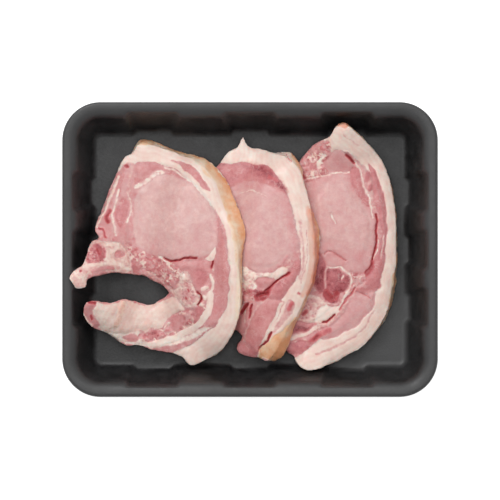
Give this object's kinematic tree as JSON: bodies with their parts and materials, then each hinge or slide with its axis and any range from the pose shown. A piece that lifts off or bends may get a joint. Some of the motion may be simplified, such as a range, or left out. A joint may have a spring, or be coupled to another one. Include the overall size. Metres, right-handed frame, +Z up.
{
  "type": "meat tray pack",
  "caption": "Open rectangular foam meat tray with fluted sloping walls, holding raw bone-in pork loin chops that overlap like shingles.",
  "frame": {"origin": "centre of the tray's outer size, on the surface that the tray stands on", "axes": "+X along the tray's long side, from the chop that lies on top to the one underneath; +Y along its short side; +Z up"},
  "size_m": [0.235, 0.1846, 0.0358],
  "materials": {
    "foam": "dark grey expanded foam, matt with a faint mottle",
    "lean": "raw pink meat, moist",
    "fat": "cream fat with tan rind along its outer side, moist",
    "bone": "sawn bone, pale rim round a red-grey porous middle"
  },
  "bodies": {
    "root": {"tray": "foam", "left_chop_lean": "lean", "left_chop_fat": "fat", "left_chop_backbone": "bone", "left_chop_rib": "bone", "middle_chop_lean": "lean", "middle_chop_fat": "fat", "right_chop_lean": "lean", "right_chop_fat": "fat", "right_chop_rib": "bone"}
  },
  "joints": []
}
